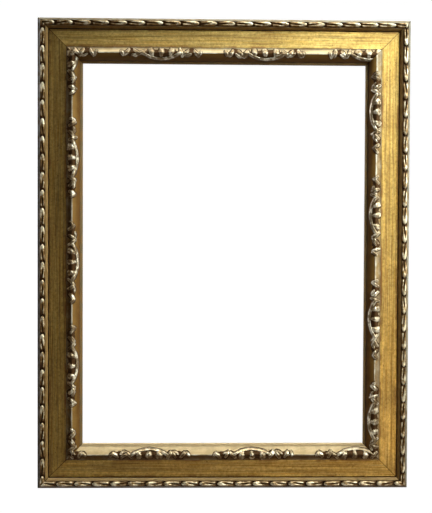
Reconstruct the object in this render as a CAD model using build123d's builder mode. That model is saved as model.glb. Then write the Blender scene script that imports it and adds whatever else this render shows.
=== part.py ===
from build123d import *
import math
import os

os.makedirs("parts", exist_ok=True)

# A gilded picture frame with four mitred sides, built up from a plain wooden rail,
# an edge moulding with a run of leaves, and a sight moulding with sprays of foliage.
# X runs to the right and Z up, the wall plane is Y = 0 and the front faces -Y.
# The origin is the middle of the frame in the wall plane.

# Picture and rabbet
picture_width = 457.0
picture_height = 610.0
picture_play = 1.0
lip_reach = 7.5
rabbet_depth = 11.0

# Rail and frieze
hook_depth = 3.0
frieze_width = 28.5
frieze_rise = 6.2
frieze_fall = 2.8
quirk_width = 0.8
quirk_depth = 1.0

# Edge moulding, from the outer edge inwards
rim_width = 3.8
rim_drop = 6.2
rim_hollow = 0.6
leaf_bed_width = 9.4
edge_slope_width = 3.3
edge_slope_swell = 0.5
bed_rise = 5.2
edge_toe_step = 1.0

# Sight moulding, from the frieze inwards
sight_fillet_width = 1.6
sight_fillet_step = 0.8
cove_width = 6.6
cove_hollow = 1.3
crest_width = 3.0
crest_rise = 8.2
crest_round = 0.7
slope_width = 10.3
slope_fall = 12.0
slope_swell = 1.1
sight_edge_width = 3.5
sight_edge_step = 1.2
sight_edge_fall = 1.0

# Leaf run
leaf_pitch = 28.0
leaf_width = 9.2
leaf_relief = 5.2
leaf_start_share = {"top": 0.04, "right": 0.48, "bottom": 0.83, "left": 0.79}

# Foliage sprays
spray_pitch = 162.0
spray_half_length = 62.0
spray_reach = 9.0
spray_relief = 4.2
spray_root = 1.5
glue_line = 0.2
seat_facets = 3
spray_start_share = {"top": 0.19, "right": 0.89, "bottom": 0.52, "left": 0.20}

# Mitre nails, two at each corner, driven in from the back
nail_leg = 7.0
nail_thickness = 1.0
nail_height = 9.0
nail_recess = 0.5
nail_places_share = (0.30, 0.72)

# Hangers on the backs of the two long sides
hanger_height_share = 0.25
strap_width = 11.0
strap_thickness = 1.2
strap_length = 27.0
strap_tail_share = 0.45
strap_hole_play = 0.3
wire_radius = 1.3
wire_play = 0.08
ring_half_width = 9.3
ring_leg = 4.0
ring_corner_radius = 2.5
knuckle_turn = 300.0

# Screws
screw_shank_radius = 1.7
screw_length = 14.0
screw_tip = 4.0
screw_head_radius = 3.5
screw_head_height = 2.0
screw_head_rim_share = 0.45
screw_head_top_share = 0.5
screw_tip_taper = 20.0
screw_slot_width = 0.9
screw_slot_depth = 1.0
pilot_play = 0.05
screw_gap = 2.0

# The rings' wire and the screws are round, with this many flats to keep them light
round_flats = 12
bow_turns = 10
corner_turns = 3

# Cuts run past the faces that they open by this much
overrun = 2.0

# Widths and heights that follow from the sizes above
edge_width = rim_width + leaf_bed_width + edge_slope_width
sight_start = edge_width + frieze_width
cove_start = sight_start + sight_fillet_width
crest_start = cove_start + cove_width
slope_start = crest_start + crest_width
sight_edge_start = slope_start + slope_width
moulding_width = sight_edge_start + sight_edge_width
rail_width = moulding_width - lip_reach

seat_height = rabbet_depth + hook_depth
frieze_outer_height = seat_height + frieze_rise
frieze_inner_height = frieze_outer_height + frieze_fall
bed_height = frieze_outer_height + bed_rise
rim_height = bed_height - rim_drop
crest_height = frieze_inner_height + crest_rise
slope_foot_height = crest_height - slope_fall
sight_edge_height = slope_foot_height - sight_edge_step

fillet_top = frieze_inner_height + sight_fillet_step
cove_foot = (cove_start, fillet_top)
crest_low = (crest_start, crest_height - crest_round)
crest_top = (crest_start + crest_width / 2, crest_height)
crest_end = (slope_start, crest_height - crest_round)
slope_foot = (sight_edge_start, slope_foot_height)

half_width = picture_width / 2 + picture_play + rail_width
half_height = picture_height / 2 + picture_play + rail_width
spray_centre = crest_start + crest_width / 2

FORWARD = Vector(0, -1, 0)
OUTWARD = {
    "top": Vector(0, 0, 1),
    "right": Vector(1, 0, 0),
    "bottom": Vector(0, 0, -1),
    "left": Vector(-1, 0, 0),
}


def half_length(side):
    """Half the outer length of a side."""
    return half_width if side in ("top", "bottom") else half_height


def across(side):
    """Plane across the middle of a side: x runs in from its outer edge, y off the wall."""
    outward = OUTWARD[side]
    reach = half_height if side in ("top", "bottom") else half_width
    return Plane(origin=outward * reach, x_dir=-outward, z_dir=(-outward).cross(FORWARD))


def mitre_planes(side):
    """The two planes at 45 degrees that a side is cut to, facing off its ends."""
    middle = across(side)
    planes = []
    for end in (1, -1):
        corner = middle.origin + middle.z_dir * (end * half_length(side))
        planes.append(Plane(origin=corner, z_dir=middle.x_dir + middle.z_dir * end))
    return planes


def cut_mitres(side):
    """Cut the part being built to its two mitres."""
    for plane in mitre_planes(side):
        split(bisect_by=plane, keep=Keep.BOTTOM)


def skin(sections):
    """Solid with flat triangles over a row of sections that have equally many points."""
    faces = [Face(Wire.make_polygon(sections[0])), Face(Wire.make_polygon(sections[-1]))]
    for near, far in zip(sections, sections[1:]):
        for place in range(len(near)):
            after = (place + 1) % len(near)
            faces.append(Face(Wire.make_polygon([near[place], near[after], far[after]])))
            faces.append(Face(Wire.make_polygon([near[place], far[after], far[place]])))
    return Solid(Shell(faces))


def save(part, name):
    """Label a finished piece and write it to its file."""
    part.label = name
    export_step(part, f"parts/{name}.step")


# Sections of the three mouldings


def rail_section(side):
    """Plain rail: flat back, rabbet wall, a seat at each edge and the frieze between."""
    with BuildSketch(across(side)) as section:
        with BuildLine():
            Polyline(
                (0, 0),
                (rail_width, 0),
                (rail_width, seat_height),
                (sight_start, seat_height),
                (sight_start, frieze_inner_height),
                (edge_width + quirk_width, frieze_outer_height),
                (edge_width, frieze_outer_height - quirk_depth),
                (edge_width, seat_height),
                (0, seat_height),
                close=True,
            )
        make_face()
    return section.sketch


def edge_section(side):
    """Edge moulding: hollow rim, flat bed for the leaves and a swelling inner slope."""
    rim_top = (rim_width, bed_height)
    bed_end = (rim_width + leaf_bed_width, bed_height)
    toe = (edge_width, frieze_outer_height + edge_toe_step)
    with BuildSketch(across(side)) as section:
        with BuildLine():
            Line((0, seat_height), (0, rim_height))
            SagittaArc((0, rim_height), rim_top, -rim_hollow)
            Line(rim_top, bed_end)
            SagittaArc(bed_end, toe, edge_slope_swell)
            Polyline(toe, (edge_width, seat_height), (0, seat_height))
        make_face()
    return section.sketch


def sight_section(plane):
    """Sight moulding: fillet, cove, round crest, swelling slope and the lip over the picture."""
    with BuildSketch(plane) as section:
        with BuildLine():
            Polyline((sight_start, seat_height), (sight_start, fillet_top), cove_foot)
            SagittaArc(cove_foot, crest_low, -cove_hollow)
            ThreePointArc(crest_low, crest_top, crest_end)
            SagittaArc(crest_end, slope_foot, slope_swell)
            Polyline(
                slope_foot,
                (sight_edge_start, sight_edge_height),
                (moulding_width, sight_edge_height - sight_edge_fall),
                (moulding_width, rabbet_depth),
                (rail_width, rabbet_depth),
                (rail_width, seat_height),
                (sight_start, seat_height),
            )
        make_face()
    return section.sketch


# Mitre nails: bent steel strips, one leg in each of the two rails that they hold


def nail_corners():
    """Every nail's corner, as signs to the right and up, and how far in from it the nail is."""
    places = []
    for right in (1, -1):
        for up in (1, -1):
            for share in nail_places_share:
                inset = share * rail_width
                places.append((right, up, inset))
    return places


def nail_outline(plane, right, up, inset):
    """The nail's bent strip, seen along its depth."""
    outer_x = right * (half_width - inset)
    outer_z = up * (half_height - inset)
    end_x = outer_x - right * nail_leg
    end_z = outer_z - up * nail_leg
    inner_x = outer_x - right * nail_thickness
    inner_z = outer_z - up * nail_thickness
    with BuildSketch(plane) as outline:
        with BuildLine():
            Polyline(
                (outer_x, outer_z),
                (end_x, outer_z),
                (end_x, inner_z),
                (inner_x, inner_z),
                (inner_x, end_z),
                (outer_x, end_z),
                close=True,
            )
        make_face()
    return outline.sketch


with BuildPart() as mitre_nails:
    for corner in nail_corners():
        extrude(nail_outline(Plane.XZ.offset(nail_recess), *corner), amount=nail_height)
save(mitre_nails.part, "mitre_nails")

with BuildPart() as nail_slots:
    for corner in nail_corners():
        mouth = nail_outline(Plane.XZ.offset(-overrun), *corner)
        extrude(mouth, amount=overrun + nail_recess + nail_height)

# Rails

hanger_x = half_width - rail_width / 2
hanger_z = half_height - hanger_height_share * 2 * half_height
ring_drop = ring_leg + ring_half_width
screw_drop = ring_drop + wire_radius + screw_gap + screw_head_radius

for side in OUTWARD:
    with BuildPart() as rail:
        extrude(rail_section(side), amount=half_length(side), both=True)
        cut_mitres(side)
        add(nail_slots.part, mode=Mode.SUBTRACT)
        if side in ("left", "right"):
            place = OUTWARD[side] * hanger_x + Vector(0, 0, hanger_z - screw_drop)
            with BuildSketch(Plane(origin=place, z_dir=FORWARD)):
                Circle(screw_shank_radius + pilot_play)
            extrude(amount=screw_length, mode=Mode.SUBTRACT)
    save(rail.part, f"rail_{side}")

# Edge mouldings

for side in OUTWARD:
    with BuildPart() as edge_moulding:
        extrude(edge_section(side), amount=half_length(side), both=True)
        cut_mitres(side)
    save(edge_moulding.part, f"edge_moulding_{side}")

# Leaf run: every leaf comes out from under the tip of the one before, as two lobes
# with a groove between them that closes towards its own raised tip. The stations give
# shares of the pitch, the leaf's width and its relief: place, width, lobe height,
# groove height and how far the groove lies off the middle.

leaf_station_shares = (
    (0.03, 0.88, 0.62, 0.14, -0.06),
    (0.34, 1.00, 0.90, 0.38, -0.02),
    (0.74, 0.92, 1.00, 1.02, 0.05),
    (0.97, 0.68, 0.82, 0.88, 0.04),
)
lobe_place_share = 0.27
shoulder_width_share = 0.46
shoulder_height_share = 0.62


def leaf_section(plane, width_share, lobe_share, groove_share, shift_share):
    """Points across a leaf on its bed: two lobes with the groove between them."""
    middle = rim_width + leaf_bed_width / 2
    width = leaf_width * width_share
    lobe = leaf_relief * lobe_share
    shoulder = lobe * shoulder_height_share
    points = (
        (-width / 2, 0),
        (-width * shoulder_width_share, shoulder),
        (-width * lobe_place_share, lobe),
        (leaf_width * shift_share, leaf_relief * groove_share),
        (width * lobe_place_share, lobe),
        (width * shoulder_width_share, shoulder),
        (width / 2, 0),
    )
    return [plane.from_local_coords((middle + place, bed_height + rise, 0)) for place, rise in points]


def leaf_run(side):
    """Sections of all the leaves along a side, in clockwise order from its first corner."""
    half = half_length(side)
    leaf_count = math.ceil(2 * half / leaf_pitch) + 1
    sections = []
    for leaf in range(leaf_count):
        root = (leaf - 1 + leaf_start_share[side]) * leaf_pitch
        for place, width, lobe, groove, shift in leaf_station_shares:
            station = across(side).offset(half - root - place * leaf_pitch)
            sections.append(leaf_section(station, width, lobe, groove, shift))
    return sections


for side in OUTWARD:
    leaves = skin(leaf_run(side))
    with BuildPart() as leaf_band:
        add(leaves)
        cut_mitres(side)
    save(leaf_band.part, f"leaf_band_{side}")

# Sight mouldings

for side in OUTWARD:
    with BuildPart() as sight_moulding:
        extrude(sight_section(across(side)), amount=half_length(side), both=True)
        cut_mitres(side)
    save(sight_moulding.part, f"sight_moulding_{side}")

# Foliage sprays: a shell of three lobes over a bowed scroll, with a side leaf and an
# end leaf to each side. They lie over the crest of the sight moulding. The stations go
# from the middle of a spray to its end, as shares of its half length, reach and relief:
# place, outer edge, crest place, crest height, valley height, scroll place, scroll height.

spray_station_shares = (
    (0.00, 0.88, -0.10, 1.00, 0.28, 0.86, 0.62),
    (0.12, 0.62, -0.05, 0.30, 0.12, 0.82, 0.62),
    (0.24, 0.86, -0.06, 0.95, 0.26, 0.68, 0.66),
    (0.35, 0.54, 0.00, 0.32, 0.18, 0.50, 0.74),
    (0.45, 0.44, -0.12, 0.78, 0.52, 0.24, 0.84),
    (0.53, 0.34, -0.10, 0.22, 0.16, 0.26, 0.22),
    (0.64, 0.66, -0.18, 0.86, 0.40, 0.56, 0.60),
    (0.75, 0.36, 0.00, 0.26, 0.18, 0.28, 0.24),
    (0.88, 0.58, -0.10, 0.80, 0.44, 0.50, 0.56),
    (1.00, 0.16, 0.04, 0.20, 0.14, 0.14, 0.12),
)
outer_shoulder_share = 0.70
outer_shoulder_height_share = 0.55
scroll_flank_share = 0.14


def seat_line():
    """Chords over the arcs of the sight moulding's face, with glue on the round ones."""
    cove = SagittaArc(cove_foot, crest_low, -cove_hollow)
    crest = ThreePointArc(crest_low, crest_top, crest_end)
    slope = SagittaArc(crest_end, slope_foot, slope_swell)
    steps = [facet / seat_facets for facet in range(seat_facets)]
    points = [cove @ step for step in steps]
    for arc in (crest, slope):
        points += [arc @ step + Vector(0, glue_line) for step in steps]
    points.append(slope @ 1 + Vector(0, glue_line))
    return [(point.X, point.Y) for point in points]


seat = seat_line()


def seat_height_at(across_place):
    """Height of the sprays' seat at a place across the moulding."""
    for (start, low), (end, high) in zip(seat, seat[1:]):
        if across_place <= end:
            share = max(across_place - start, 0) / (end - start)
            return low + (high - low) * share
    return seat[-1][1]


def spray_section(along, outer, crest, crest_relief, valley_relief, scroll, scroll_relief):
    """Points across a spray, with a root that is later cut to the moulding's face."""
    valley = (crest + scroll) / 2
    shoulder = crest - (crest + outer) * outer_shoulder_share
    shoulder_relief = crest_relief * outer_shoulder_height_share
    shares = (
        (-outer, 0),
        (shoulder, shoulder_relief),
        (crest, crest_relief),
        (valley, valley_relief),
        (scroll, scroll_relief),
        (scroll + scroll_flank_share, 0),
    )
    points = []
    for place_share, relief_share in shares:
        place = spray_centre + place_share * spray_reach
        points.append((place, seat_height_at(place) + relief_share * spray_relief))
    for place, ground in (points[-1], points[0]):
        points.append((place, ground - spray_root))
    plane = moulding_end.offset(along)
    return [plane.from_local_coords((place, height, 0)) for place, height in points]


moulding_end = Plane(origin=(0, 0, 0), x_dir=(0, 1, 0), z_dir=(1, 0, 0))
spray_stations = [(-station[0], *station[1:]) for station in reversed(spray_station_shares[1:])]
spray_stations += spray_station_shares
spray_skin = skin(
    [spray_section(station[0] * spray_half_length, *station[1:]) for station in spray_stations]
)
with BuildPart() as spray:
    add(spray_skin)
    with BuildSketch(moulding_end):
        with BuildLine():
            Polyline((cove_start, seat_height), *seat, (sight_edge_start, seat_height), close=True)
        make_face()
    extrude(amount=spray_half_length + overrun, both=True, mode=Mode.SUBTRACT)


def spray_planes(side):
    """Planes that set the sprays of one side on its sight moulding, clockwise along it."""
    middle = across(side)
    half = half_length(side)
    planes = []
    place = spray_start_share[side] * spray_pitch
    while place - spray_half_length < 2 * half - crest_start:
        origin = middle.origin + middle.z_dir * (half - place)
        planes.append(Plane(origin=origin, x_dir=middle.z_dir, z_dir=FORWARD))
        place += spray_pitch
    return planes


for side in OUTWARD:
    with BuildPart() as foliage:
        add([plane.location * spray.part for plane in spray_planes(side)])
        cut_mitres(side)
    save(foliage.part, f"foliage_{side}")

# Hangers: a strap with a rolled knuckle, its D-shaped ring and one screw, on each side

knuckle_radius = wire_radius + wire_play + strap_thickness
strap_bend_radius = knuckle_radius - strap_thickness / 2


def strap_line():
    """Middle line of the bent strap, from its tail up round the ring's bar."""
    with BuildSketch() as section:
        with BuildLine() as line:
            tail = Line((strap_thickness / 2, -strap_length), (strap_thickness / 2, 0))
            JernArc(tail @ 1, tail % 1, radius=strap_bend_radius, arc_size=-knuckle_turn)
        trace(line.line, line_width=strap_thickness)
    return section.sketch


def turn(centre, radius, start, end, count):
    """Points of a turn in a wire, from one angle to another in equal steps."""
    points = []
    for step in range(count + 1):
        angle = math.radians(start + (end - start) * step / count)
        points.append((centre[0] + radius * math.cos(angle), centre[1] + radius * math.sin(angle)))
    return points


def ring_path():
    """Path of the ring's wire, hanging from its bar."""
    corner = ring_half_width - ring_corner_radius
    points = [(0, 0)]
    points += turn((corner, -ring_corner_radius), ring_corner_radius, 90, 0, corner_turns)
    points += turn((0, -ring_leg), ring_half_width, 0, -180, bow_turns)
    points += turn((-corner, -ring_corner_radius), ring_corner_radius, 180, 90, corner_turns)
    with BuildLine() as path:
        Polyline(*points, close=True)
    return path.line


def screw(seat_plane):
    """Round-head screw: its head above the seat, its shank and point below, with a slot."""
    sections = (
        (screw_head_height, screw_head_top_share * screw_head_radius),
        (screw_head_height * screw_head_rim_share, screw_head_radius),
        (0, screw_head_radius),
    )
    head = []
    for height, radius in sections:
        with BuildSketch(seat_plane.offset(height)) as section:
            RegularPolygon(radius=radius, side_count=round_flats)
        head.append(section.sketch)
    with BuildPart() as fastener:
        loft(head, ruled=True)
        with BuildSketch(seat_plane):
            RegularPolygon(radius=screw_shank_radius, side_count=round_flats)
        extrude(amount=-(screw_length - screw_tip))
        with BuildSketch(seat_plane.offset(screw_tip - screw_length)):
            RegularPolygon(radius=screw_shank_radius, side_count=round_flats)
        extrude(amount=-screw_tip, taper=screw_tip_taper)
        with BuildSketch(seat_plane.offset(screw_head_height)):
            Rectangle(2 * screw_head_radius, screw_slot_width)
        extrude(amount=-screw_slot_depth, mode=Mode.SUBTRACT)
    return fastener.part


for side, sign in (("left", -1), ("right", 1)):
    hanger_plane = Plane(origin=(sign * hanger_x, 0, hanger_z), x_dir=(0, 1, 0), z_dir=(1, 0, 0))
    screw_plane = Plane(origin=(sign * hanger_x, 0, hanger_z - screw_drop), z_dir=(0, 1, 0))

    with BuildPart() as strap:
        extrude(hanger_plane.location * strap_line(), amount=strap_width / 2, both=True)
        tail_edges = strap.edges().filter_by(Axis.Y).group_by(Axis.Z)[0]
        fillet(tail_edges, radius=strap_width * strap_tail_share)
        with BuildSketch(screw_plane):
            Circle(screw_shank_radius + strap_hole_play)
        extrude(amount=strap_thickness, mode=Mode.SUBTRACT)
    save(strap.part, f"hanger_strap_{side}")

    ring_place = (sign * hanger_x, knuckle_radius, hanger_z)
    ring_plane = Plane(origin=ring_place, x_dir=(1, 0, 0), z_dir=FORWARD)
    with BuildPart() as ring:
        wire = ring_plane.location * ring_path()
        with BuildSketch(Plane(origin=wire @ 0, z_dir=wire % 0)):
            RegularPolygon(radius=wire_radius, side_count=round_flats)
        sweep(path=wire, transition=Transition.RIGHT)
    save(ring.part, f"hanger_ring_{side}")

with BuildPart() as hanger_screws:
    for sign in (-1, 1):
        seat = Vector(sign * hanger_x, strap_thickness, hanger_z - screw_drop)
        add(screw(Plane(origin=seat, x_dir=(1, 0, 0), z_dir=(0, 1, 0))))
save(hanger_screws.part, "hanger_screws")
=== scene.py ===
import math
import random

import bmesh
import bpy
from mathutils import Matrix, Vector, noise
from mathutils.bvhtree import BVHTree


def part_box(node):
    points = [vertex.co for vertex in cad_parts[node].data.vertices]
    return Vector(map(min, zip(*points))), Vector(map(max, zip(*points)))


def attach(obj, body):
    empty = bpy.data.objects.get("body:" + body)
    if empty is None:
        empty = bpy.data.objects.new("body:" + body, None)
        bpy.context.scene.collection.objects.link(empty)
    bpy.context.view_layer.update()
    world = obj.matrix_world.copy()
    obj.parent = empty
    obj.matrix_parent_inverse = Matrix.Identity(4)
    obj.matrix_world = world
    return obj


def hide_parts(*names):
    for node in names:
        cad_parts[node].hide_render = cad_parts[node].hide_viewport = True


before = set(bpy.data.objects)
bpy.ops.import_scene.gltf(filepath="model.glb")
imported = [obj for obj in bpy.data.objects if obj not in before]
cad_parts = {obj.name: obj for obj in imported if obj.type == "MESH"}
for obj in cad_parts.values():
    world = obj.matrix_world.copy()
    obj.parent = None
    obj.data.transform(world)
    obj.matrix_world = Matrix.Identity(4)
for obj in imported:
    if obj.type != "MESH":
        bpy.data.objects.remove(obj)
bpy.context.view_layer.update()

# Metres throughout. Places on the moulding are told by side, by the way along it clockwise
# from its first corner, by the way in from its outer edge and by the height off the wall.

half_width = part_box("rail_top")[1][0]
half_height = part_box("rail_top")[1][2]
moulding_width = half_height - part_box("sight_moulding_top")[0][2]
bed_height = -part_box("edge_moulding_top")[0][1]
edge_width = half_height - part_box("edge_moulding_top")[0][2]
sight_start = half_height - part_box("sight_moulding_top")[1][2]
leaf_low, leaf_high = (Vector(corner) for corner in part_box("leaf_band_top"))
leaf_middle = half_height - (leaf_low.z + leaf_high.z) / 2
leaf_width = leaf_high.z - leaf_low.z
leaf_relief = -leaf_low.y - bed_height

# Each side has its first corner, the way along it and the way in from its outer edge.

SIDES = {
    "top": (Vector((-half_width, 0, half_height)), Vector((1, 0, 0)), Vector((0, 0, -1))),
    "right": (Vector((half_width, 0, half_height)), Vector((0, 0, -1)), Vector((-1, 0, 0))),
    "bottom": (Vector((half_width, 0, -half_height)), Vector((-1, 0, 0)), Vector((0, 0, 1))),
    "left": (Vector((-half_width, 0, -half_height)), Vector((0, 0, 1)), Vector((1, 0, 0))),
}
OFF_WALL = Vector((0, -1, 0))


def spot(side, along, inwards, height):
    """Point on a side."""
    corner, way_along, way_in = SIDES[side]
    return corner + way_along * along + way_in * inwards + OFF_WALL * height


def side_length(side):
    """Length of a side along its outer edge."""
    return 2 * (half_width if side in ("top", "bottom") else half_height)


def smooth(share):
    """Soft step from 0 to 1."""
    share = min(max(share, 0), 1)
    return share * share * (3 - 2 * share)


def between(share, stops):
    """Value at a share along a row of (place, value) stops, eased from stop to stop."""
    for (start, low), (end, high) in zip(stops, stops[1:]):
        if share <= end:
            return low + (high - low) * smooth((share - start) / (end - start))
    return stops[-1][1]


def varied(stops, factor):
    """Stops with their values made larger or smaller."""
    return tuple((place, value * factor) for place, value in stops)


def crosswise(count):
    """Places across a form from -1 to 1, closer together towards its edges."""
    return [math.cos(math.pi * (1 - point / (count - 1))) for point in range(count)]


# Height of the sight moulding's face, felt along the middle of the top side with rays

feel_step = 0.0004
feel_from = -0.1
feel_count = int((moulding_width - sight_start) / feel_step)
end_margin = 1.001
last_place = feel_count - end_margin
scene_now = bpy.context.evaluated_depsgraph_get()
sight_tree = BVHTree.FromObject(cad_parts["sight_moulding_top"], scene_now)
sight_heights = []
for feel in range(feel_count):
    inwards = sight_start + (feel + 0.5) * feel_step
    start = Vector((0, feel_from, half_height - inwards))
    hit = sight_tree.ray_cast(start, -OFF_WALL)[0]
    sight_heights.append(-hit.y)


def sight_height(inwards):
    """Height of the sight moulding's face at a place in from the outer edge."""
    place = (inwards - sight_start) / feel_step - 0.5
    place = min(max(place, 0), last_place)
    first = int(place)
    share = place - first
    return sight_heights[first] * (1 - share) + sight_heights[first + 1] * share


crest_height = max(sight_heights)
crest_middle = sight_start + (sight_heights.index(crest_height) + 0.5) * feel_step


# Meshes


def in_scene(mesh, material):
    """Puts a mesh in the scene, as an object of the same name with its material."""
    mesh.materials.append(material)
    piece = bpy.data.objects.new(mesh.name, mesh)
    bpy.context.scene.collection.objects.link(piece)
    return piece


def smooth_piece(form, mesh, material):
    """Ends the making of a form, and puts it in the scene shaded smooth."""
    for face in form.faces:
        face.smooth = True
    form.to_mesh(mesh)
    form.free()
    return in_scene(mesh, material)


class Carving:
    """Vertices and faces of one side's ornament, with each spot's darkness, recess tone and painted shade.
    """

    def __init__(self):
        self.spots = []
        self.faces = []
        self.hollow_and_shade_values = []

    def grid(self, rows, hollow_and_shade_values):
        """Adds a closed form from rows of points, each row a loop across it."""
        first = len(self.spots)
        width = len(rows[0])
        for row, hollow_and_shade_row in zip(rows, hollow_and_shade_values):
            self.spots.extend(row)
            self.hollow_and_shade_values.extend(hollow_and_shade_row)
        for row in range(len(rows) - 1):
            for place in range(width):
                after = (place + 1) % width
                near = first + row * width
                far = near + width
                self.faces.append((near + place, near + after, far + after, far + place))
        self.faces.append(tuple(first + place for place in reversed(range(width))))
        last = first + (len(rows) - 1) * width
        self.faces.append(tuple(last + place for place in range(width)))

    def cut(self, side, name, material):
        """The finished object, cut to the side's two mitres."""
        mesh = bpy.data.meshes.new(name)
        mesh.from_pydata(self.spots, [], self.faces)
        shade = mesh.attributes.new("hollow_and_shade", "FLOAT", "POINT")
        shade.data.foreach_set("value", self.hollow_and_shade_values)
        form = bmesh.new()
        form.from_mesh(mesh)
        bmesh.ops.recalc_face_normals(form, faces=form.faces)
        corner, way_along, way_in = SIDES[side]
        next_corner = spot(side, side_length(side), 0, 0)
        mitres = ((corner, way_in - way_along), (next_corner, way_in + way_along))
        for end, outwards in mitres:
            everything = form.verts[:] + form.edges[:] + form.faces[:]
            cut = bmesh.ops.bisect_plane(
                form, geom=everything, plane_co=end, plane_no=outwards, clear_outer=True
            )
            edges = [part for part in cut["geom_cut"] if isinstance(part, bmesh.types.BMEdge)]
            bmesh.ops.holes_fill(form, edges=edges)
        return smooth_piece(form, mesh, material)


# Leaf run

# Each leaf comes from under the tip of the one before, as two lobes with a groove between
# them that closes towards a raised, rounded tip. The places in its stops are shares of its
# length, from root to tip, and its widths and crowns are shares of the run's own width and
# relief. Leans and changes are the least and the most that chance picks for each leaf.

leaf_pitch = 0.028
leaf_starts = {"top": 0.04, "right": 0.48, "bottom": 0.83, "left": 0.79}
leaf_rows = (
    -0.04, 0.02, 0.09, 0.17, 0.26, 0.35, 0.44, 0.53, 0.62, 0.71, 0.79, 0.86, 0.92, 0.965, 0.99, 1.0
)
leaf_points = 21
leaf_sink = 0.0004
leaf_widths = ((-0.04, 0.82), (0.2, 0.96), (0.5, 1.0), (0.8, 0.95), (0.93, 0.82), (1.0, 0.50))
leaf_crowns = (
    (-0.04, 0.22), (0.1, 0.66), (0.4, 0.90), (0.8, 1.0), (0.93, 0.94), (0.975, 0.74), (1.0, 0.1)
)
leaf_bows = ((0.0, 0.0), (1.0, 0.10))
leaf_fullness = 2.4
groove_depths = ((-0.04, 0.92), (0.3, 0.80), (0.52, 0.55), (0.70, 0.12), (0.80, 0.0))
groove_width = 0.27
groove_turn_place = 0.35
groove_tone = 1.35
rib_place = 0.66
rib_width = 0.13
rib_depths = ((-0.04, 0.3), (0.4, 0.22), (0.75, 0.06), (0.9, 0.0))
rib_tone = 1.4
foot_tone_fall = 1.3
# Painted shadow in the gap under each leaf's tip: shares where the darkening at the tip and at the root
# changes, and over what length.
tip_shadow_start = 0.97
tip_shadow_length = 0.03
root_shadow_start = -0.02
root_shadow_length = 0.08

leaf_leans = (0.4, 1.0)
leaf_lean_ways = (1, 1, 1, -1)
leaf_groove_changes = (0.85, 1.0)
leaf_height_changes = (0.93, 1.0)
leaf_width_changes = (0.95, 1.0)
leaf_length_changes = (0.945, 0.98)


def leaf_cross(share, across, lean, depth):
    """Height and darkness, painted shadow included, of a leaf at a place along and across it, as shares.
    """
    dome = math.sqrt(max(1 - abs(across) ** leaf_fullness, 0))
    groove_middle = lean * (share - groove_turn_place)
    groove = math.exp(-(((across - groove_middle) / groove_width) ** 2))
    groove *= between(share, groove_depths) * depth
    rib = math.exp(-(((abs(across) - rib_place) / rib_width) ** 2)) * between(share, rib_depths)
    height = between(share, leaf_crowns) * dome * (1 - groove) * (1 - rib)
    foot = 1 - dome
    # Painted shadow at a leaf's tip and at its root, which lies under the tip of the leaf before.
    tip = smooth((share - tip_shadow_start) / tip_shadow_length)
    root = 1 - smooth((share - root_shadow_start) / root_shadow_length)
    hollow_and_shade = max(groove * groove_tone, rib * rib_tone, foot ** foot_tone_fall, tip, root)
    return height, min(hollow_and_shade, 1)


def leaf(carving, side, root, chance):
    """Adds one leaf whose root lies at a place along the side."""
    lean = chance.uniform(*leaf_leans) * chance.choice(leaf_lean_ways)
    depth = chance.uniform(*leaf_groove_changes)
    tall = chance.uniform(*leaf_height_changes)
    wide = chance.uniform(*leaf_width_changes)
    long = chance.uniform(*leaf_length_changes)
    rows = []
    hollow_and_shade_values = []
    for share in leaf_rows:
        half = leaf_width / 2 * between(share, leaf_widths) * wide
        row = []
        hollow_and_shade_row = []
        for across in crosswise(leaf_points):
            rise, hollow_and_shade = leaf_cross(share, across, lean, depth)
            bow = (across * across) * between(share, leaf_bows)
            along = root + (share * long - bow) * leaf_pitch
            height = bed_height + rise * leaf_relief * tall
            row.append(spot(side, along, leaf_middle + half * across, height))
            hollow_and_shade_row.append(hollow_and_shade)
        along = root + share * leaf_pitch
        for across in (1, -1):
            row.append(spot(side, along, leaf_middle + half * across, bed_height - leaf_sink))
            hollow_and_shade_row.append(1.0)
        rows.append(row)
        hollow_and_shade_values.append(hollow_and_shade_row)
    carving.grid(rows, hollow_and_shade_values)


def leaf_run(side, material):
    """All the leaves of a side."""
    carving = Carving()
    chance = random.Random("leaves " + side)
    count = math.ceil(side_length(side) / leaf_pitch) + 1
    for number in range(count):
        leaf(carving, side, (number - 1 + leaf_starts[side]) * leaf_pitch, chance)
    piece = carving.cut(side, "leaf_run_" + side, material)
    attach(piece, "frame")
    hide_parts("leaf_band_" + side)


# Foliage sprays

# Paths are points along and across from the middle of a spray, towards the next corner and
# towards the picture, and in lobe_path the first number is a share of the lobe's own place
# along. The places in stops are shares of a path's length. Widths are from the middle of a
# blade to its edge, and each side leaf is a path and its width. A hand is how far chance
# moves a path, and how far it turns it in radians.

spray_pitch = 0.162
spray_half_length = 0.062
spray_starts = {"top": 0.19, "right": 0.89, "bottom": 0.52, "left": 0.20}
spray_sink = 0.0006
blade_rows = 15
blade_points = 15
blade_ridge = 1.4
path_reach = 0.02
chip_scale = 420.0
chip_depth = 0.00045
edge_scale = 1.6
edge_length = 4
edge_wander = 0.35
groove_share = 0.3
groove_shade = 1.3
hollow_fall = 2.4

lobe_spacing = 0.0155
lobe_splay = 0.0012
lobe_path = ((1.06, -0.0080), (1.0, -0.0040), (0.95, 0.0010), (0.86, 0.0062))
lobe_widths = ((0, 0.0050), (0.25, 0.0078), (0.6, 0.0062), (0.85, 0.0044), (1, 0.0020))
lobe_rises = ((0, 0.0012), (0.25, 0.0036), (0.6, 0.0040), (0.85, 0.0034), (1, 0.0008))
lobe_hand = (0.0009, 0.16)
lobe_width_changes = (0.80, 1.06)
lobe_height_changes = (0.8, 1.0)
lobe_groove = 0.12

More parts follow.
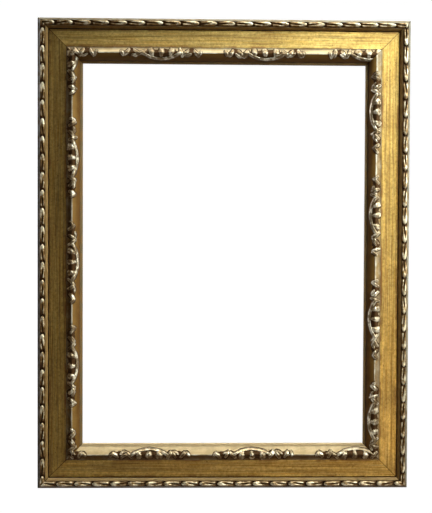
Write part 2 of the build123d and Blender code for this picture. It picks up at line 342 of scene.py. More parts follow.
scroll_path = ((-0.0325, -0.0030), (-0.0250, 0.0022), (-0.0150, 0.0064), (0, 0.0084))
scroll_path += tuple((-along, across) for along, across in reversed(scroll_path[:-1]))
scroll_widths = ((0, 0.0012), (0.10, 0.0032), (0.5, 0.0024), (0.90, 0.0032), (1, 0.0012))
scroll_rises = ((0, 0.0012), (0.10, 0.0036), (0.5, 0.0030), (0.90, 0.0036), (1, 0.0012))
scroll_hand = (0.0005, 0.03)
scroll_ridge = 2.2
scroll_groove = 0.15
scroll_shade = 0.10

# Thin dark sheets between the lobes and the side leaves: painted shade, partly umber tone in these
# recesses.
shade_sheet_widths = ((0, 0.0026), (0.25, 0.0066), (0.75, 0.0066), (1, 0.0026))
shade_sheet_rises = ((0, 0.0004), (0.25, 0.0009), (0.75, 0.0009), (1, 0.0004))
shade_sheet_paths = (
    ((-0.026, -0.0008), (0, 0.0006), (0.026, -0.0008)),
    ((0.036, -0.0022), (0.046, -0.0016), (0.056, -0.0022)),
    ((-0.036, -0.0022), (-0.046, -0.0016), (-0.056, -0.0022)),
)
shade_sheet_ridge = 6.0
shade_sheet_darkness = 0.92

side_leaves = (
    (((0.0265, -0.0074), (0.0300, -0.0015), (0.0360, 0.0058)), 0.0047),
    (((0.0430, -0.0070), (0.0400, -0.0012), (0.0345, 0.0052)), 0.0043),
    (((0.0340, 0.0020), (0.0400, 0.0042), (0.0475, 0.0010)), 0.0028),
    (((0.0500, -0.0070), (0.0530, -0.0010), (0.0580, 0.0054)), 0.0046),
    (((0.0618, -0.0050), (0.0608, -0.0004), (0.0565, 0.0050)), 0.0038),
)
side_leaf_widths = ((0, 0.5), (0.3, 0.9), (0.7, 1), (0.9, 0.7), (1, 0.25))
side_leaf_rises = ((0, 0.0014), (0.3, 0.0034), (0.75, 0.0040), (0.9, 0.0032), (1, 0.0010))
side_leaf_hand = (0.0012, 0.34)
side_leaf_height_changes = (0.65, 1.0)
side_leaf_width_changes = (0.85, 1.15)
side_leaf_ridge = 1.3
side_leaf_groove = 0.2


def along_path(path, share):
    """Point on a smooth line through a row of points, at a share of its length."""
    place = share * (len(path) - 1)
    first = min(int(place), len(path) - 2)
    step = place - first
    before = path[max(first - 1, 0)]
    start = path[first]
    end = path[first + 1]
    beyond = path[min(first + 2, len(path) - 1)]
    point = []
    for p0, p1, p2, p3 in zip(before, start, end, beyond):
        bend = 2 * p0 - 5 * p1 + 4 * p2 - p3
        turn = 3 * p1 - 3 * p2 + p3 - p0
        point.append(p1 + 0.5 * step * (p2 - p0 + step * (bend + step * turn)))
    return Vector(point)


def blade(carving, side, middle, path, widths, rises, ridge=blade_ridge, groove=0.0, shade=0.0):
    """Adds one carved blade or painted-shade sheet of a spray, laid over the sight moulding along its
    path.
    """
    own_place = spot(side, middle, 0, 0) * chip_scale
    rows = []
    hollow_and_shade_values = []
    for row_number in range(blade_rows):
        share = 0.5 - 0.5 * math.cos(math.pi * row_number / (blade_rows - 1))
        centre = along_path(path, share)
        ahead = along_path(path, min(share + path_reach, 1))
        ahead -= along_path(path, max(share - path_reach, 0))
        sideways = Vector((-ahead.y, ahead.x)).normalized()
        edge_place = Vector((share * edge_length, *path[0])) * edge_scale
        ragged = noise.noise(own_place + edge_place)
        half = between(share, widths) * (1 + edge_wander * ragged)
        rise = between(share, rises)
        row = []
        hollow_and_shade_row = []
        for across in crosswise(blade_points):
            place = centre + sideways * half * across
            dome = 1 - abs(across) ** ridge
            dip = groove * math.exp(-((across / groove_share) ** 2))
            inwards = crest_middle + place.y
            flat = spot(side, middle + place.x, inwards, 0)
            chip = noise.noise(flat * chip_scale) * chip_depth * dome
            height = sight_height(inwards) + rise * dome * (1 - dip) + chip
            row.append(flat + OFF_WALL * height)
            hollow_and_shade_row.append(min(max((1 - dome) ** hollow_fall, dip * groove_shade, shade), 1))
        for across in (1, -1):
            place = centre + sideways * half * across
            inwards = crest_middle + place.y
            row.append(spot(side, middle + place.x, inwards, sight_height(inwards) - spray_sink))
            hollow_and_shade_row.append(1.0)
        rows.append(row)
        hollow_and_shade_values.append(hollow_and_shade_row)
    carving.grid(rows, hollow_and_shade_values)


def hand_cut(path, chance, drift, turn):
    """A path moved and turned a little about its middle, as a carver's hand leaves it."""
    centre = along_path(path, 0.5)
    moved = centre + Vector((chance.uniform(-drift, drift), chance.uniform(-drift, drift)))
    swing = Matrix.Rotation(chance.uniform(-turn, turn), 2)
    return tuple(tuple(moved + swing @ (Vector(point) - centre)) for point in path)


def spray(carving, side, middle, chance):
    """Adds one spray: painted-shade sheets, three lobes, the scroll under them and the leaves at each end.
    """
    for path in shade_sheet_paths:
        blade(carving, side, middle, path, shade_sheet_widths, shade_sheet_rises, shade_sheet_ridge, shade=shade_sheet_darkness)
    for lobe in (-1, 0, 1):
        start = lobe * lobe_spacing
        path = tuple((start * spread + lobe_splay * lobe, across) for spread, across in lobe_path)
        path = hand_cut(path, chance, *lobe_hand)
        widths = varied(lobe_widths, chance.uniform(*lobe_width_changes))
        rises = varied(lobe_rises, chance.uniform(*lobe_height_changes))
        blade(carving, side, middle, path, widths, rises, groove=lobe_groove)
    path = hand_cut(scroll_path, chance, *scroll_hand)
    blade(
        carving, side, middle, path, scroll_widths, scroll_rises, scroll_ridge, scroll_groove, scroll_shade
    )
    for end in (1, -1):
        for path, width in side_leaves:
            rises = varied(side_leaf_rises, chance.uniform(*side_leaf_height_changes))
            widths = varied(side_leaf_widths, width * chance.uniform(*side_leaf_width_changes))
            path = tuple((end * along, across) for along, across in path)
            path = hand_cut(path, chance, *side_leaf_hand)
            blade(carving, side, middle, path, widths, rises, side_leaf_ridge, side_leaf_groove)


def foliage(side, material):
    """All the sprays of a side."""
    carving = Carving()
    chance = random.Random("sprays " + side)
    middle = spray_starts[side] * spray_pitch
    while middle - spray_half_length < side_length(side) - crest_middle:
        spray(carving, side, middle, chance)
        middle += spray_pitch
    piece = carving.cut(side, "spray_run_" + side, material)
    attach(piece, "frame")
    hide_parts("foliage_" + side)


# Hanger rings: round wire, on the CAD rings' own places

wire_radius = (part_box("hanger_ring_left")[1][1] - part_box("hanger_ring_left")[0][1]) / 2
wire_steps = 24
ring_corner = 0.0025
ring_corner_steps = 8
ring_leg = 0.004
ring_bow_steps = 40


def ring_line(side):
    """Points along the middle of a ring's wire."""
    low, high = (Vector(corner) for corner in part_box("hanger_ring_" + side))
    middle = (low + high) / 2
    top = high.z - wire_radius
    half = (high.x - low.x) / 2 - wire_radius
    points = []
    turns = (
        (half - ring_corner, -ring_corner, ring_corner, 90, 0, ring_corner_steps),
        (0, -ring_leg, half, 0, -180, ring_bow_steps),
        (-(half - ring_corner), -ring_corner, ring_corner, 180, 90, ring_corner_steps),
    )
    for across, down, radius, start, end, count in turns:
        for step in range(count + 1):
            angle = math.radians(start + (end - start) * step / count)
            x = middle.x + across + radius * math.cos(angle)
            z = top + down + radius * math.sin(angle)
            points.append(Vector((x, middle.y, z)))
    return points


def ring(side, material):
    """One hanger ring as a closed tube."""
    points = ring_line(side)
    form = bmesh.new()
    loops = []
    for number, point in enumerate(points):
        ahead = (points[(number + 1) % len(points)] - points[number - 1]).normalized()
        sideways = ahead.cross(OFF_WALL)
        loop = []
        for step in range(wire_steps):
            angle = 2 * math.pi * step / wire_steps
            offset = OFF_WALL * math.cos(angle) + sideways * math.sin(angle)
            loop.append(form.verts.new(point + offset * wire_radius))
        loops.append(loop)
    for number, loop in enumerate(loops):
        following = loops[(number + 1) % len(loops)]
        for step in range(wire_steps):
            after = (step + 1) % wire_steps
            form.faces.new((loop[step], loop[after], following[after], following[step]))
    bmesh.ops.recalc_face_normals(form, faces=form.faces)
    piece = smooth_piece(form, bpy.data.meshes.new("ring_wire_" + side), material)
    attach(piece, "ring_" + side)
    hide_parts("hanger_ring_" + side)


# Node trees


def set_sockets(tree, node, sockets):
    """Gives a node's sockets their values or links."""
    for name, value in sockets.items():
        if isinstance(value, bpy.types.NodeSocket):
            tree.links.new(value, node.inputs[name])
        else:
            node.inputs[name].default_value = value


def add(tree, kind, sockets=None, **settings):
    """Adds a node, with its settings and with values or links for its sockets."""
    made = tree.nodes.new(kind)
    for name, value in settings.items():
        setattr(made, name, value)
    set_sockets(tree, made, sockets or {})
    return made


def use(tree, shader_group, sockets):
    """Places a group in a material or in another group."""
    return add(tree, "ShaderNodeGroup", sockets, node_tree=shader_group)


def maths(tree, operation, first, second=0.0, third=0.0):
    """Output of a Math node."""
    return add(tree, "ShaderNodeMath", {0: first, 1: second, 2: third}, operation=operation).outputs[0]


def times(tree, first, second):
    """Product of two values."""
    return maths(tree, "MULTIPLY", first, second)


def step_up(tree, value, low, high):
    """Soft step from 0 at low to 1 at high; low may be the higher of the two."""
    sockets = {"Value": value, "From Min": low, "From Max": high}
    made = add(tree, "ShaderNodeMapRange", sockets, interpolation_type="SMOOTHSTEP")
    return made.outputs["Result"]


def band(tree, value, start, end, edge):
    """1 between two places and 0 outside them, with soft edges."""
    rising = step_up(tree, value, start - edge, start + edge)
    falling = step_up(tree, value, end + edge, end - edge)
    return times(tree, rising, falling)


def mixed(tree, share, first, second):
    """Mix of two colours."""
    return add(tree, "ShaderNodeMix", {0: share, 6: first, 7: second}, data_type="RGBA").outputs[2]


def mixed_value(tree, share, first, second):
    """Mix of two numbers."""
    return add(tree, "ShaderNodeMix", {0: share, 2: first, 3: second}, data_type="FLOAT").outputs[0]


def toned(tree, base, mask, amount, tone):
    """A colour with a tone over it where the mask is 1, as strong as the amount."""
    return mixed(tree, times(tree, mask, amount), base, tone)


def noise_of(tree, vector, scale, detail, roughness):
    """Output of a noise texture."""
    sockets = {"Vector": vector, "Scale": scale, "Detail": detail, "Roughness": roughness}
    return add(tree, "ShaderNodeTexNoise", sockets).outputs[0]


def group(name, inputs, outputs):
    """A new shader group with its sockets, and its input and output nodes."""
    tree = bpy.data.node_groups.new(name, "ShaderNodeTree")
    for socket, kind in inputs:
        tree.interface.new_socket(socket, in_out="INPUT", socket_type=kind)
    for socket, kind in outputs:
        tree.interface.new_socket(socket, in_out="OUTPUT", socket_type=kind)
    return tree, tree.nodes.new("NodeGroupInput"), tree.nodes.new("NodeGroupOutput")


# Colours of the finishes


def colour(red, green, blue):
    """A solid colour."""
    return (red, green, blue, 1.0)


UMBER = colour(0.026, 0.012, 0.004)
BROWN = colour(0.105, 0.046, 0.011)
DEEP_BROWN = colour(0.068, 0.030, 0.008)
BOLE = colour(0.200, 0.062, 0.022)
DEEP_GOLD = colour(0.50, 0.245, 0.034)
LEAF_GOLD = colour(0.78, 0.45, 0.085)
PALE_GOLD = colour(0.92, 0.73, 0.29)
OLD_GOLD = colour(0.33, 0.200, 0.070)
DARK_GOLD = colour(0.26, 0.145, 0.050)
TIP_GOLD = colour(0.93, 0.80, 0.55)
SLOPE_GOLD = colour(0.35, 0.190, 0.048)
SLOPE_BROWN = colour(0.14, 0.060, 0.012)
# Pale dusting colour, also put on what faces up as painted light.
DUST_AND_TOP_LIGHT = colour(0.90, 0.67, 0.36)
IVORY = colour(0.92, 0.82, 0.62)
WORN_GILDING = colour(0.44, 0.35, 0.22)
GREY_WASH = colour(0.34, 0.32, 0.25)
RIM_BROWN = colour(0.20, 0.145, 0.070)
GREY_BROWN = colour(0.23, 0.160, 0.085)
WARM_GLOSS = colour(0.95, 0.64, 0.28)
WOOD = colour(0.50, 0.33, 0.17)
PALE_WOOD = colour(0.62, 0.44, 0.25)
DARK_WOOD = colour(0.36, 0.22, 0.10)
BRIGHT_STEEL = colour(0.62, 0.62, 0.60)
DULL_STEEL = colour(0.42, 0.42, 0.40)
NAIL_STEEL = colour(0.40, 0.40, 0.41)
STAINED_STEEL = colour(0.22, 0.20, 0.19)


# Effects that several finishes share

speck_fineness = 11.0


def make_place_group():
    """Where a spot lies: along the grain, in from the outer edge, and from the mitre."""
    tree, _, out = group(
        "moulding place",
        (),
        (("Grain", "NodeSocketVector"), ("Inwards", "NodeSocketFloat"), ("Mitre", "NodeSocketFloat")),
    )
    texture = add(tree, "ShaderNodeTexCoord")
    parts = add(tree, "ShaderNodeSeparateXYZ", {0: texture.outputs["Object"]})
    across_x = maths(tree, "SUBTRACT", half_width, maths(tree, "ABSOLUTE", parts.outputs[0]))
    across_z = maths(tree, "SUBTRACT", half_height, maths(tree, "ABSOLUTE", parts.outputs[2]))
    upright = maths(tree, "LESS_THAN", across_x, across_z)
    along = mixed_value(tree, upright, parts.outputs[0], parts.outputs[2])
    sideways = mixed_value(tree, upright, parts.outputs[2], parts.outputs[0])
    height = times(tree, parts.outputs[1], -1.0)
    grain = add(tree, "ShaderNodeCombineXYZ", {0: along, 1: sideways, 2: height})
    inwards = maths(tree, "MINIMUM", across_x, across_z)
    mitre = maths(tree, "ABSOLUTE", maths(tree, "SUBTRACT", across_x, across_z))
    set_sockets(tree, out, {"Grain": grain.outputs[0], "Inwards": inwards, "Mitre": mitre})
    return tree


def make_streak_group():
    """Fine lines along the grain, as a brush or a plane leaves them."""
    tree, source, out = group(
        "streaks",
        (("Grain", "NodeSocketVector"), ("Length", "NodeSocketFloat"), ("Fineness", "NodeSocketFloat")),
        (("Lines", "NodeSocketFloat"), ("Broad", "NodeSocketFloat")),
    )
    fine = source.outputs["Fineness"]
    scale = add(tree, "ShaderNodeCombineXYZ", {0: source.outputs["Length"], 1: fine, 2: fine})
    both = {0: source.outputs["Grain"], 1: scale.outputs[0]}
    stretched = add(tree, "ShaderNodeVectorMath", both, operation="MULTIPLY").outputs[0]
    lines = noise_of(tree, stretched, scale=1.0, detail=4.0, roughness=0.7)
    broad = noise_of(tree, stretched, scale=0.22, detail=3.0, roughness=0.6)
    lines = step_up(tree, lines, low=0.28, high=0.72)
    broad = step_up(tree, broad, low=0.32, high=0.68)
    set_sockets(tree, out, {"Lines": lines, "Broad": broad})
    return tree


def make_mottle_group():
    """Uneven cloudy toning with small specks in it."""
    tree, source, out = group(
        "mottle",
        (("Grain", "NodeSocketVector"), ("Size", "NodeSocketFloat")),
        (("Clouds", "NodeSocketFloat"), ("Specks", "NodeSocketFloat")),
    )
    grain = source.outputs["Grain"]
    clouds = noise_of(tree, grain, source.outputs["Size"], detail=5.0, roughness=0.62)
    fine = times(tree, source.outputs["Size"], speck_fineness)
    specks = noise_of(tree, grain, fine, detail=3.0, roughness=0.7)
    clouds = step_up(tree, clouds, low=0.34, high=0.66)
    specks = step_up(tree, specks, low=0.58, high=0.74)
    set_sockets(tree, out, {"Clouds": clouds, "Specks": specks})
    return tree


def make_dust_and_light_group(mottle):
    """Pale dusting and painted top light on what faces up, brown painted shade on what faces down."""
    tree, source, out = group(
        "dust_and_painted_light",
        (("Grain", "NodeSocketVector"), ("Amount", "NodeSocketFloat"), ("Darkening strength", "NodeSocketFloat")),
        (("Dust and painted light", "NodeSocketFloat"), ("Painted shade", "NodeSocketFloat")),
    )
    geometry = add(tree, "ShaderNodeNewGeometry")
    parts = add(tree, "ShaderNodeSeparateXYZ", {0: geometry.outputs["Normal"]})
    # Paler where the surface faces up: partly a dusting, partly painted light from above.
    upwards = step_up(tree, parts.outputs[2], low=0.05, high=0.75)
    clouds = use(tree, mottle, {"Grain": source.outputs["Grain"], "Size": 60.0})
    uneven = maths(tree, "MULTIPLY_ADD", clouds.outputs["Clouds"], -0.3, 1.0)
    dusting_and_top_light = times(tree, times(tree, upwards, uneven), source.outputs["Amount"])
    # Painted shade: browner where the surface faces down.
    downwards = step_up(tree, parts.outputs[2], low=-0.05, high=-0.50)
    shade = times(tree, downwards, source.outputs["Darkening strength"])
    set_sockets(tree, out, {"Dust and painted light": dusting_and_top_light, "Painted shade": shade})
    return tree


def make_bare_wood_group(streaks):
    """Bare softwood behind and in the rabbet, with its grain."""
    tree, source, out = group(
        "bare wood",
        (("Grain", "NodeSocketVector"),),
        (("Colour", "NodeSocketColor"), ("Relief", "NodeSocketFloat")),
    )
    lines = use(tree, streaks, {"Grain": source.outputs["Grain"], "Length": 9.0, "Fineness": 420.0})
    pale = mixed(tree, lines.outputs["Broad"], WOOD, PALE_WOOD)
    grained = mixed(tree, lines.outputs["Lines"], DARK_WOOD, pale)
    set_sockets(tree, out, {"Colour": grained, "Relief": lines.outputs["Lines"]})
    return tree


place_group = make_place_group()
streak_group = make_streak_group()
mottle_group = make_mottle_group()
dust_and_light_group = make_dust_and_light_group(mottle_group)
bare_wood_group = make_bare_wood_group(streak_group)


def with_dusting_and_painted_light(tree, place, base, amount, darkening):
    """A colour with pale dusting and painted light facing up, and brown painted shade facing down."""
    dust_and_painted_light = use(tree, dust_and_light_group, {"Grain": place.outputs["Grain"], "Amount": amount, "Darkening strength": darkening})
    return mixed(tree, dust_and_painted_light.outputs["Dust and painted light"], mixed(tree, dust_and_painted_light.outputs["Painted shade"], base, BROWN), DUST_AND_TOP_LIGHT)


def mitre_line(tree, place, base):
    """A colour with the dark hairline of the mitre in it."""
    line = step_up(tree, place.outputs["Mitre"], *mitre_edge)
    return toned(tree, base, line, amount=0.85, tone=UMBER)


def facing_front(tree):
    """1 on what faces the front or the side, 0 on what faces the wall."""
    geometry = add(tree, "ShaderNodeNewGeometry")
    parts = add(tree, "ShaderNodeSeparateXYZ", {0: geometry.outputs["True Normal"]})
    return step_up(tree, parts.outputs[1], low=0.6, high=0.3)


# Materials

# Edges are soft steps, from the place where a finish starts to the place where it is full,
# in from the outer edge of the frame, or for the mitre from its line. Bands are a start, an
# end and the softness of both. Reliefs are the heights of the finest unevenness.

mitre_gap = 0.0005
mitre_edge = (mitre_gap * 1.8, mitre_gap * 0.6)
leaf_bed_band = (0.0042, edge_width - 0.0038, 0.0004)
inner_slope_edge = (edge_width - 0.0040, edge_width - 0.0032)
quirk_edge = (edge_width + 0.0022, edge_width + 0.0012)
outer_rub_band = (edge_width + 0.0020, edge_width + 0.0042, 0.0008)
inner_rub_and_shade_edge = (sight_start - 0.0035, sight_start - 0.0008)
rabbet_edge = (sight_start + 0.004, sight_start + 0.006)
fillet_edge = (sight_start + 0.0024, sight_start + 0.0014)
crest_band = (crest_middle - 0.0012, crest_middle + 0.0008, 0.0006)
sight_slope_edge = (crest_middle - 0.0010, crest_middle + 0.0012)
lower_slope_edge = (crest_middle + 0.0010, moulding_width - 0.0045)
lip_edge = (moulding_width - 0.0040, moulding_width - 0.0034)
lip_step_band = (*lip_edge, 0.0003)

frieze_relief = 0.00016
moulding_relief = 0.00012
ornament_relief = 0.00014
steel_relief = 0.00004

frieze_metal = 0.92
ornament_metal = 0.60
low_gloss = 0.2


def new_material(name):
    """An empty material with its shader, and its tree."""
    material = bpy.data.materials.new(name)
    material.use_nodes = True
    tree = material.node_tree
    return material, tree, tree.nodes["Principled BSDF"]


def finish_surface(tree, shader, base, roughness, metal, relief, depth):
    """Joins colour, gloss and a bumped relief to a shader."""
    set_sockets(tree, shader, {"Base Color": base, "Roughness": roughness, "Metallic": metal})
    bump = add(tree, "ShaderNodeBump", {"Height": relief, "Strength": 1.0, "Distance": depth})
    set_sockets(tree, shader, {"Normal": bump.outputs[0]})


def frieze_material():
    """Rails: brushed gold on the frieze, umber in the quirk from dirt and painted shadow, bare wood
    behind.
    """
    material, tree, shader = new_material("gilded_frieze")
    place = use(tree, place_group, {})
    grain = place.outputs["Grain"]
    inwards = place.outputs["Inwards"]
    streaks = use(tree, streak_group, {"Grain": grain, "Length": 14.0, "Fineness": 900.0})
    mottle = use(tree, mottle_group, {"Grain": grain, "Size": 26.0})
    wood = use(tree, bare_wood_group, {"Grain": grain})
    gold = mixed(tree, streaks.outputs["Broad"], DEEP_GOLD, LEAF_GOLD)
    gold = toned(tree, gold, streaks.outputs["Lines"], amount=0.45, tone=PALE_GOLD)
    gold = toned(tree, gold, mottle.outputs["Clouds"], amount=0.25, tone=BROWN)
    gold = toned(tree, gold, mottle.outputs["Specks"], amount=0.75, tone=BROWN)
    scored = use(tree, streak_group, {"Grain": grain, "Length": 8.0, "Fineness": 360.0})
    score = maths(tree, "POWER", scored.outputs["Lines"], 3.0)
    gold = toned(tree, gold, score, amount=0.8, tone=BROWN)
    grit = use(tree, mottle_group, {"Grain": grain, "Size": 240.0})
    gold = toned(tree, gold, grit.outputs["Clouds"], amount=0.35, tone=BROWN)
    rubbed = step_up(tree, mottle.outputs["Clouds"], low=0.35, high=0.8)
    outer_rub = band(tree, inwards, *outer_rub_band)
    gold = toned(tree, gold, outer_rub, amount=times(tree, rubbed, 0.5), tone=BOLE)
    # Bole towards the inner edge of the frieze, beside the raised sight moulding: partly rubbed wear,
    # partly painted shade.
    inner_rub_and_shade = step_up(tree, inwards, *inner_rub_and_shade_edge)
    gold = toned(tree, gold, inner_rub_and_shade, amount=times(tree, rubbed, 0.6), tone=BOLE)
    # Umber in the quirk: partly dirt in the joint, partly painted shadow of the edge moulding's step.
    quirk = step_up(tree, inwards, *quirk_edge)
    gold = mixed(tree, quirk, gold, UMBER)
    front = facing_front(tree)
    rabbet = step_up(tree, inwards, *rabbet_edge)
    gilded = times(tree, front, maths(tree, "SUBTRACT", 1.0, rabbet))
    base = mitre_line(tree, place, mixed(tree, gilded, wood.outputs["Colour"], gold))
    dull = mixed_value(tree, streaks.outputs["Lines"], 0.50, 0.38)
    dull = maths(tree, "ADD", dull, times(tree, mottle.outputs["Clouds"], 0.12))
    roughness = mixed_value(tree, gilded, 0.75, dull)
    metal = times(tree, gilded, frieze_metal)
    finish_surface(tree, shader, base, roughness, metal, streaks.outputs["Lines"], frieze_relief)
    return material


def edge_material():
    """Edge moulding: grey wash on the rim, dark bed, old gold on the inner slope."""
    material, tree, shader = new_material("gilded_edge")
    place = use(tree, place_group, {})
    grain = place.outputs["Grain"]
    inwards = place.outputs["Inwards"]
    streaks = use(tree, streak_group, {"Grain": grain, "Length": 30.0, "Fineness": 700.0})
    mottle = use(tree, mottle_group, {"Grain": grain, "Size": 90.0})
    rim = mixed(tree, mottle.outputs["Clouds"], GREY_WASH, RIM_BROWN)
    rim = toned(tree, rim, streaks.outputs["Lines"], amount=0.4, tone=BROWN)
    slope = mixed(tree, mottle.outputs["Clouds"], OLD_GOLD, DARK_GOLD)
    slope = toned(tree, slope, mottle.outputs["Specks"], amount=0.6, tone=UMBER)
    base = mixed(tree, step_up(tree, inwards, *inner_slope_edge), rim, slope)
    base = mixed(tree, band(tree, inwards, *leaf_bed_band), base, UMBER)
    # Pale dusting and painted light where it faces up, brown painted shade where it faces down.
    base = with_dusting_and_painted_light(tree, place, base, amount=0.15, darkening=0.5)
    base = mitre_line(tree, place, base)
    roughness = mixed_value(tree, mottle.outputs["Clouds"], 0.42, 0.58)
    shader.inputs["Specular IOR Level"].default_value = low_gloss
    shader.inputs["Specular Tint"].default_value = WARM_GLOSS
    finish_surface(tree, shader, base, roughness, 0.0, streaks.outputs["Lines"], moulding_relief)
    return material


def ornament_material(name, high, middle, low, size):
    """Carved ornament: rubbed pale on what stands out, brown in recesses and where shade is painted."""
    material, tree, shader = new_material(name)
    place = use(tree, place_group, {})
    mottle = use(tree, mottle_group, {"Grain": place.outputs["Grain"], "Size": size})
    # Darkness of each spot: umber tone in recesses, painted shade on the dark sheets and painted shadow at
    # the leaves' ends.
    hollow_and_shade = add(tree, "ShaderNodeAttribute", attribute_name="hollow_and_shade").outputs["Fac"]
    uneven = maths(tree, "MULTIPLY_ADD", mottle.outputs["Clouds"], 0.34, -0.17)
    depth = maths(tree, "ADD", hollow_and_shade, uneven)
    base = mixed(tree, step_up(tree, depth, low=-0.06, high=0.20), high, middle)
    base = toned(tree, base, mottle.outputs["Specks"], amount=0.55, tone=BROWN)
    # Pale dusting and painted light where it faces up, brown painted shade where it faces down.
    base = with_dusting_and_painted_light(tree, place, base, amount=0.4, darkening=0.3)
    base = mixed(tree, step_up(tree, depth, low=0.18, high=0.50), base, low)
    roughness = mixed_value(tree, hollow_and_shade, 0.30, 0.6)
    shader.inputs["Specular IOR Level"].default_value = low_gloss
    specks = mottle.outputs["Specks"]
    finish_surface(tree, shader, base, roughness, ornament_metal, specks, ornament_relief)
    return material


def sight_material():
    """Sight moulding: worn gilding in the cove, a rubbed crest, brown-toned gold down the slope."""
    material, tree, shader = new_material("gilded_sight")
    place = use(tree, place_group, {})
    grain = place.outputs["Grain"]
    inwards = place.outputs["Inwards"]
    streaks = use(tree, streak_group, {"Grain": grain, "Length": 22.0, "Fineness": 650.0})
    mottle = use(tree, mottle_group, {"Grain": grain, "Size": 70.0})
    patches = use(tree, mottle_group, {"Grain": grain, "Size": 24.0})
    cove = mixed(tree, mottle.outputs["Clouds"], WORN_GILDING, OLD_GOLD)
    cove = toned(tree, cove, patches.outputs["Clouds"], amount=0.7, tone=BROWN)
    lower = step_up(tree, inwards, *lower_slope_edge)
    browned = maths(tree, "MULTIPLY_ADD", patches.outputs["Clouds"], 0.4, times(tree, lower, 0.8))
    slope = mixed(tree, browned, SLOPE_GOLD, SLOPE_BROWN)
    slope = toned(tree, slope, streaks.outputs["Lines"], amount=0.35, tone=BROWN)
    slope = toned(tree, slope, mottle.outputs["Specks"], amount=0.4, tone=BOLE)
    base = mixed(tree, step_up(tree, inwards, *sight_slope_edge), cove, slope)
    crest = band(tree, inwards, *crest_band)
    rubbed = mixed_value(tree, mottle.outputs["Clouds"], 0.8, 0.2)
    base = toned(tree, base, crest, amount=rubbed, tone=IVORY)
    base = toned(tree, base, mottle.outputs["Specks"], amount=0.4, tone=BROWN)
    # Umber at the foot of the cove, where the sight moulding meets the frieze: painted shade.
    base = toned(tree, base, step_up(tree, inwards, *fillet_edge), amount=0.35, tone=UMBER)
    lip = step_up(tree, inwards, *lip_edge)
    base = mixed(tree, lip, base, mixed(tree, mottle.outputs["Clouds"], DARK_GOLD, RIM_BROWN))
    # Painted light from above: far more pale colour where the lip faces up; painted shade where the
    # moulding faces down.
    base = with_dusting_and_painted_light(tree, place, base, amount=mixed_value(tree, lip, 0.8, 2.2), darkening=0.75)
    base = toned(tree, base, band(tree, inwards, *lip_step_band), amount=0.8, tone=UMBER)
    wood = use(tree, bare_wood_group, {"Grain": grain})
    base = mitre_line(tree, place, base)
    base = mixed(tree, facing_front(tree), wood.outputs["Colour"], base)
    roughness = mixed_value(tree, mottle.outputs["Clouds"], 0.36, 0.52)
    shader.inputs["Specular IOR Level"].default_value = low_gloss
    shader.inputs["Specular Tint"].default_value = WARM_GLOSS
    finish_surface(tree, shader, base, roughness, 0.0, streaks.outputs["Lines"], moulding_relief)
    return material


def steel_material(name, bright, dull, size):
    """Plated or rolled steel, a little stained."""
    material, tree, shader = new_material(name)
    texture = add(tree, "ShaderNodeTexCoord")
    mottle = use(tree, mottle_group, {"Grain": texture.outputs["Object"], "Size": size})
    base = mixed(tree, mottle.outputs["Clouds"], bright, dull)
    base = toned(tree, base, mottle.outputs["Specks"], amount=0.4, tone=BROWN)
    roughness = mixed_value(tree, mottle.outputs["Clouds"], 0.28, 0.45)
    finish_surface(tree, shader, base, roughness, 1.0, mottle.outputs["Specks"], steel_relief)
    return material


def paint(node, material):
    """Gives a CAD node its material."""
    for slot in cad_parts[node].material_slots:
        slot.material = material


frieze_gold = frieze_material()
edge_gold = edge_material()
sight_gold = sight_material()
leaf_gold = ornament_material("gilded_leaves", TIP_GOLD, DARK_GOLD, DEEP_BROWN, size=110.0)
foliage_gold = ornament_material("gilded_foliage", IVORY, GREY_BROWN, DEEP_BROWN, size=110.0)
hanger_steel = steel_material("hanger_steel", BRIGHT_STEEL, DULL_STEEL, size=160.0)
nail_steel = steel_material("nail_steel", NAIL_STEEL, STAINED_STEEL, size=200.0)

for side_name in SIDES:
    paint("rail_" + side_name, frieze_gold)
    paint("edge_moulding_" + side_name, edge_gold)
    paint("sight_moulding_" + side_name, sight_gold)
    leaf_run(side_name, leaf_gold)
    foliage(side_name, foliage_gold)
for side_name in ("left", "right"):
    paint("hanger_strap_" + side_name, hanger_steel)
    ring(side_name, hanger_steel)
paint("hanger_screws", hanger_steel)
paint("mitre_nails", nail_steel)


# Floor, backdrop and wings

floor_level = -1.45
floor_front = -1.5
backdrop_top = 3.0
backdrop_distance = 3.0
wing_distance = 3.0


def stage_material(name, shade, glow):
    """Pale matt surface that shows white to the camera and to gloss, and keeps its shadows."""
    material, tree, shader = new_material(name)
    rays = add(tree, "ShaderNodeLightPath").outputs
    seen = maths(tree, "MAXIMUM", rays["Is Camera Ray"], rays["Is Glossy Ray"])
    seen = maths(tree, "MAXIMUM", seen, rays["Is Transmission Ray"])
    shader.inputs["Base Color"].default_value = colour(shade, shade, shade)
    shader.inputs["Roughness"].default_value = 0.9
    shader.inputs["Specular IOR Level"].default_value = 0.1
    shader.inputs["Emission Color"].default_value = colour(1, 1, 1)
    tree.links.new(times(tree, seen, glow), shader.inputs["Emission Strength"])
    return material


def sheet_of(name, corners, material):
    """A flat stage piece."""
    mesh = bpy.data.meshes.new(name)
    mesh.from_pydata(corners, [], [(0, 1, 2, 3)])
    piece = in_scene(mesh, material)


floor_material = stage_material("pale_floor", shade=0.80, glow=0.6)
wing_material = stage_material("pale_wings", shade=0.20, glow=0.75)
backdrop_material = stage_material("pale_backdrop", shade=0.20, glow=1.0)
floor_corners = (
    (-wing_distance, floor_front),
    (-wing_distance, backdrop_distance),
    (wing_distance, backdrop_distance),
    (wing_distance, floor_front),
)
walls = (("wing_left", wing_material), ("backdrop", backdrop_material), ("wing_right", wing_material))
sheet_of("floor", [(x, y, floor_level) for x, y in floor_corners], floor_material)
for (wall, wall_material), first, second in zip(walls, floor_corners, floor_corners[1:]):
    low = [(x, y, floor_level) for x, y in (first, second)]
    high = [(x, y, backdrop_top) for x, y in (second, first)]
    sheet_of(wall, low + high, wall_material)


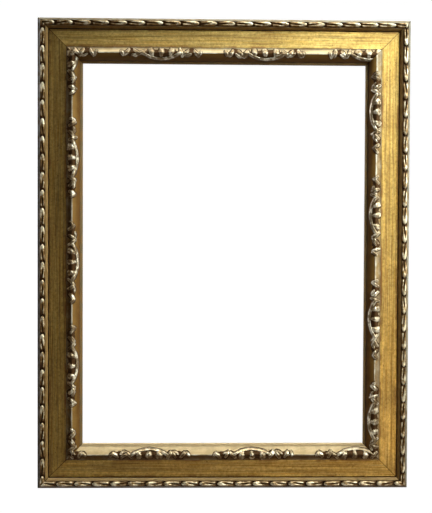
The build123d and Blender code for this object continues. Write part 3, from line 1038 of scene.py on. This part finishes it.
# Light


def lamp(name, place, aim, size, power, tint=(1, 1, 1), spread=60):
    """A square soft lamp turned towards a point, with a grid that narrows it to some degrees."""
    light = bpy.data.lights.new(name, "AREA")
    light.size = size
    light.spread = math.radians(spread)
    light.energy = power
    light.color = tint
    made = bpy.data.objects.new(name, light)
    made.location = place
    made.rotation_euler = (Vector(aim) - Vector(place)).to_track_quat("-Z", "Y").to_euler()
    bpy.context.scene.collection.objects.link(made)


lamp(
    "key_lamp",
    place=(0.90, -0.78, 1.06),
    aim=(0.29, 0, 0.30),
    size=0.7,
    power=3.35,
    tint=(0.83, 1.0, 1.12),
    spread=50,
)
lamp(
    "side_lamp",
    place=(0.90, -1.50, -0.60),
    aim=(0.25, 0, -0.25),
    size=0.6,
    power=0.85,
    tint=(1.0, 0.88, 0.68),
)
lamp(
    "edge_lamp",
    place=(1.00, -0.50, 0.35),
    aim=(0.28, 0, 0.10),
    size=0.5,
    power=1.15,
    tint=(0.88, 1.0, 1.00),
)
lamp(
    "low_lamp",
    place=(1.30, -0.30, 0.05),
    aim=(-0.24, 0, 0),
    size=0.4,
    power=0.22,
    tint=(1.0, 0.97, 0.86),
    spread=40,
)
lamp(
    "top_lamp",
    place=(0.10, -0.35, 1.45),
    aim=(0, 0, -0.30),
    size=0.6,
    power=1.6,
    tint=(1.0, 0.98, 0.92),
)
lamp("back_lamp", place=(-1.6, 2.2, 0.9), aim=(0, 0, 0), size=1.0, power=5.0)

world = bpy.data.worlds.new("studio")
world.use_nodes = True
studio = world.node_tree.nodes["Background"]
studio.inputs["Color"].default_value = colour(1.0, 0.99, 0.97)
studio.inputs["Strength"].default_value = 0.03
bpy.context.scene.world = world


# Camera, at the photograph's own place and angle

camera_place = (-0.06113, -1.74755, 0.04117)
camera_turn = (88.5443, -0.2501, -1.6025)
image_height = 513
focal_pixels = 1100
sensor = 36.0

camera_data = bpy.data.cameras.new("camera")
camera_data.sensor_width = sensor
camera_data.lens = focal_pixels / image_height * sensor
camera = bpy.data.objects.new("camera", camera_data)
camera.location = camera_place
camera.rotation_euler = [math.radians(angle) for angle in camera_turn]
bpy.context.scene.collection.objects.link(camera)
bpy.context.scene.camera = camera
bpy.context.scene.view_settings.view_transform = "Standard"
